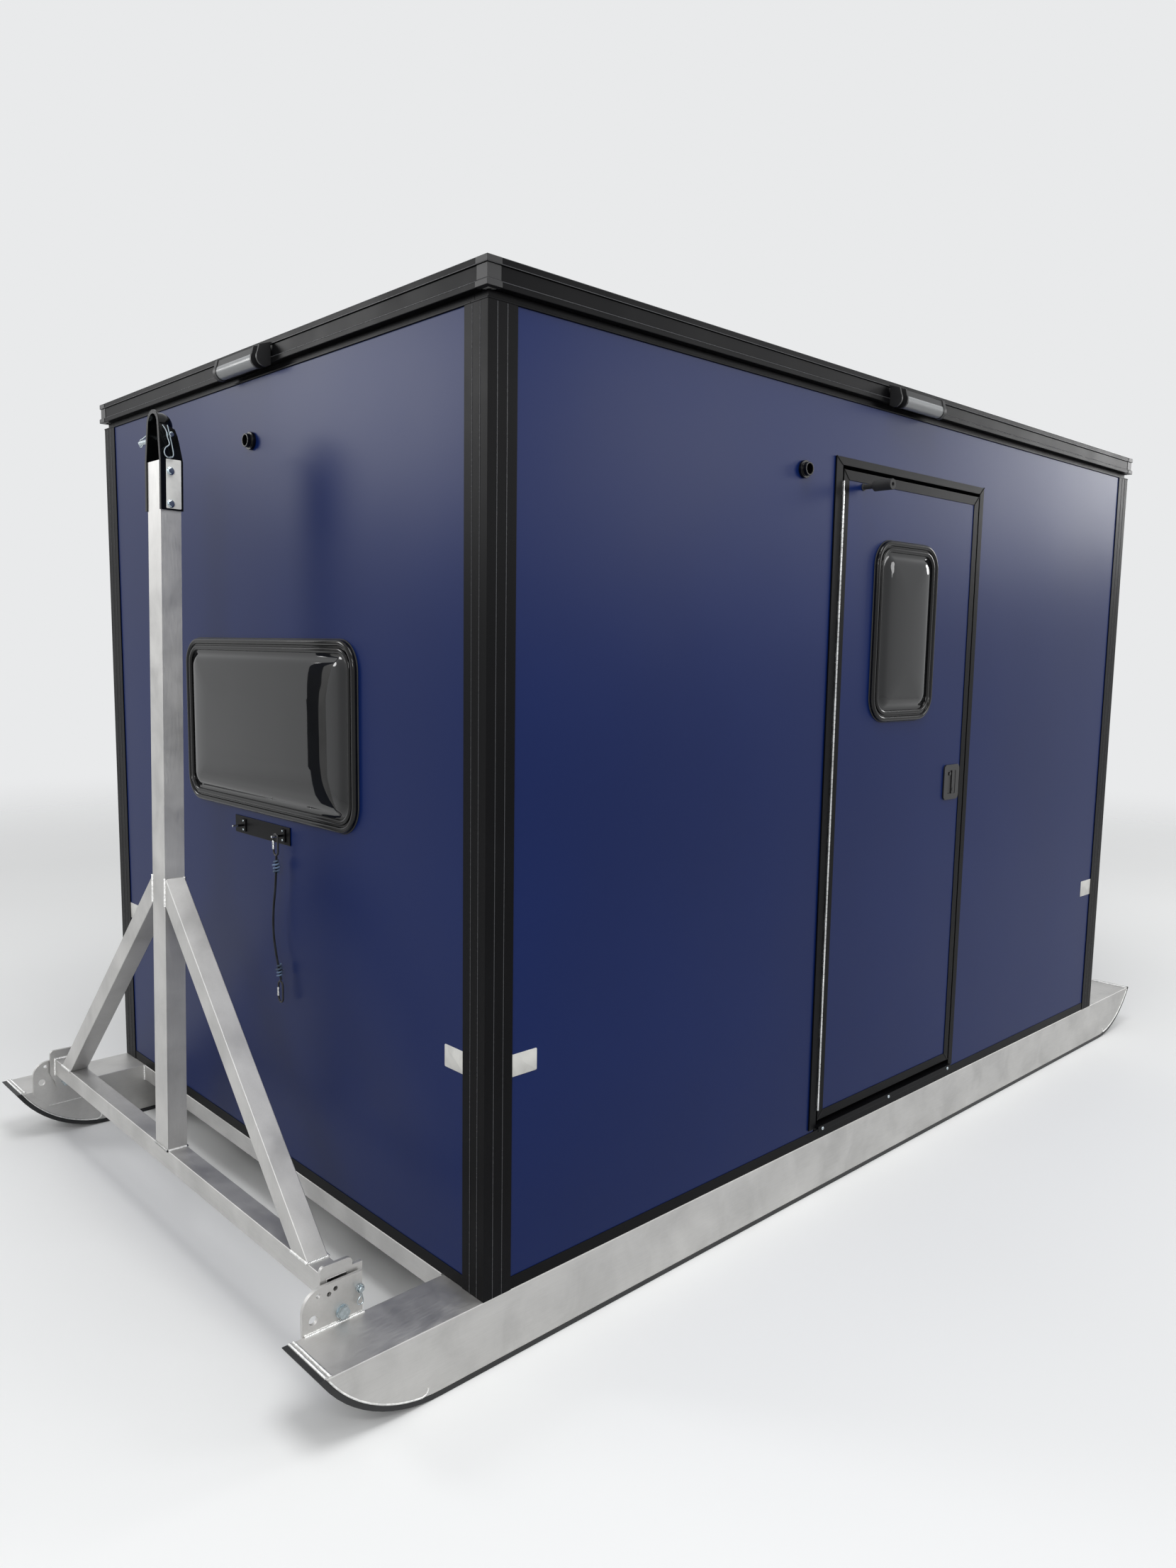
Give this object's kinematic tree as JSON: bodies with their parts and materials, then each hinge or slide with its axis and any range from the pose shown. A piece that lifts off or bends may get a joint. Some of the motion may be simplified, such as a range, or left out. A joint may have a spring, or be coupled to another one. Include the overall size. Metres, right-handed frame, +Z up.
{
  "type": "ice fishing hut",
  "caption": "Insulated ice fishing hut on two upturned skis, with a folding tow hitch, an outward opening door and tinted windows.",
  "frame": {"origin": "on the ground under the skis, at the middle of the hut's overall box", "axes": "+X along the hut from the hitch end to the rear end, -Y out of the door wall, +Z up"},
  "size_m": [3.844, 2.0632, 2.287],
  "materials": {
    "navy_panel": "satin coated sheet",
    "black_extrusion": "satin",
    "moulded_black": "moulded",
    "gloss_frame": "gloss",
    "smoked_sheet": "tinted acrylic",
    "mill_aluminium": "mill with smudges",
    "stainless_hinge": "bright",
    "zinc_hardware": "zinc plated",
    "coupler_black": "gloss",
    "ski_plastic": "matte",
    "floor_board": "matte",
    "roof_sheet": "satin",
    "lens_plastic": "ribbed clear",
    "stop_rubber": "matte",
    "cord_fabric": "braided"
  },
  "bodies": {
    "hut": {"cable_ports": "moulded_black", "corner_posts": "black_extrusion", "cross_beams": "mill_aluminium", "door_frame": "black_extrusion", "door_sill": "black_extrusion", "end_window_frames": "gloss_frame", "end_window_panes": "smoked_sheet", "floor_channels": "black_extrusion", "floor_panel": "floor_board", "hinge_frame_strip": "stainless_hinge", "hinge_pin": "stainless_hinge", "hook_plate": "black_extrusion", "lock_pins": "zinc_hardware", "pivot_bolts": "zinc_hardware", "pivot_plates": "mill_aluminium", "porch_light_housings": "moulded_black", "porch_light_lenses": "lens_plastic", "roof_corner_caps": "moulded_black", "roof_edge": "black_extrusion", "roof_panel": "roof_sheet", "ski_back_side": "mill_aluminium", "ski_door_side": "mill_aluminium", "ski_runners": "ski_plastic", "tether_clips": "moulded_black", "tether_cord": "cord_fabric", "tie_hooks": "black_extrusion", "top_channels": "black_extrusion", "wall_back": "navy_panel", "wall_hitch_end": "navy_panel", "wall_left_of_door": "navy_panel", "wall_over_door": "navy_panel", "wall_rear_end": "navy_panel", "wall_right_of_door": "navy_panel"},
    "door": {"door_leaf": "navy_panel", "door_edge_trim": "black_extrusion", "hinge_leaf_strip": "stainless_hinge", "door_window_frame": "gloss_frame", "door_window_pane": "smoked_sheet", "door_latch": "moulded_black", "door_stop": "stop_rubber"},
    "hitch": {"hitch_mast": "mill_aluminium", "hitch_crossbar": "mill_aluminium", "hitch_braces": "mill_aluminium", "hitch_end_plates": "mill_aluminium", "coupler": "coupler_black", "coupler_hardware": "zinc_hardware"}
  },
  "joints": [
    {"name": "door_hinge", "type": "hinge", "parent": "hut", "child": "door", "pos_m": [-0.332, -0.944, 1.126], "axis": [0, 0, -1], "range_deg": [0, 130]},
    {"name": "hitch_fold", "type": "hinge", "parent": "hut", "child": "hitch", "pos_m": [-1.784, 0.041, 0.18], "axis": [0, -1, 0], "range_deg": [0, 92]}
  ]
}
